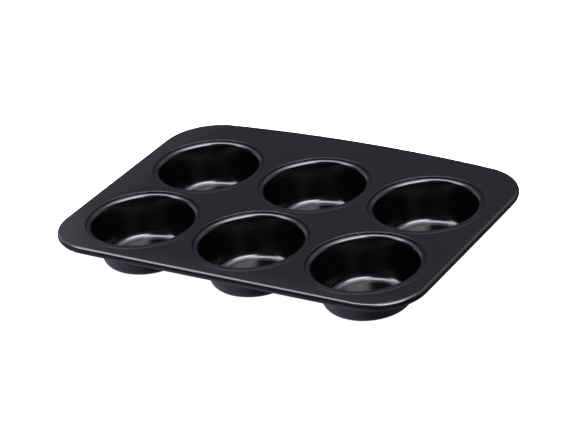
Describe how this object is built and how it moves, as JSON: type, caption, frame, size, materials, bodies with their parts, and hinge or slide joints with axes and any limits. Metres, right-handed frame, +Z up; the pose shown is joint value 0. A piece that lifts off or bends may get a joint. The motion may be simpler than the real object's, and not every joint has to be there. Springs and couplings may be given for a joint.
{
  "type": "muffin pan",
  "caption": "Rectangular non-stick muffin pan: a flat plate with a wired rolled edge and a bowed back grip, holding rows of drawn tapered cups for batter.",
  "frame": {"origin": "middle of the pan's box, on the plane that the cups stand on", "axes": "+X to the pan's right along its length, +Y to the bowed back grip, +Z up through the cups' mouths"},
  "size_m": [0.2762, 0.2042, 0.0293],
  "materials": {
    "coated_plate": "satin non-stick coating on pressed steel sheet",
    "coated_cup": "satin non-stick coating on drawn steel sheet",
    "edge_wire": "drawn bright steel wire"
  },
  "bodies": {
    "root": {"top_plate": "coated_plate", "rim_wire": "edge_wire", "cup_front_left": "coated_cup", "cup_front_middle": "coated_cup", "cup_front_right": "coated_cup", "cup_back_left": "coated_cup", "cup_back_middle": "coated_cup", "cup_back_right": "coated_cup"}
  },
  "joints": []
}
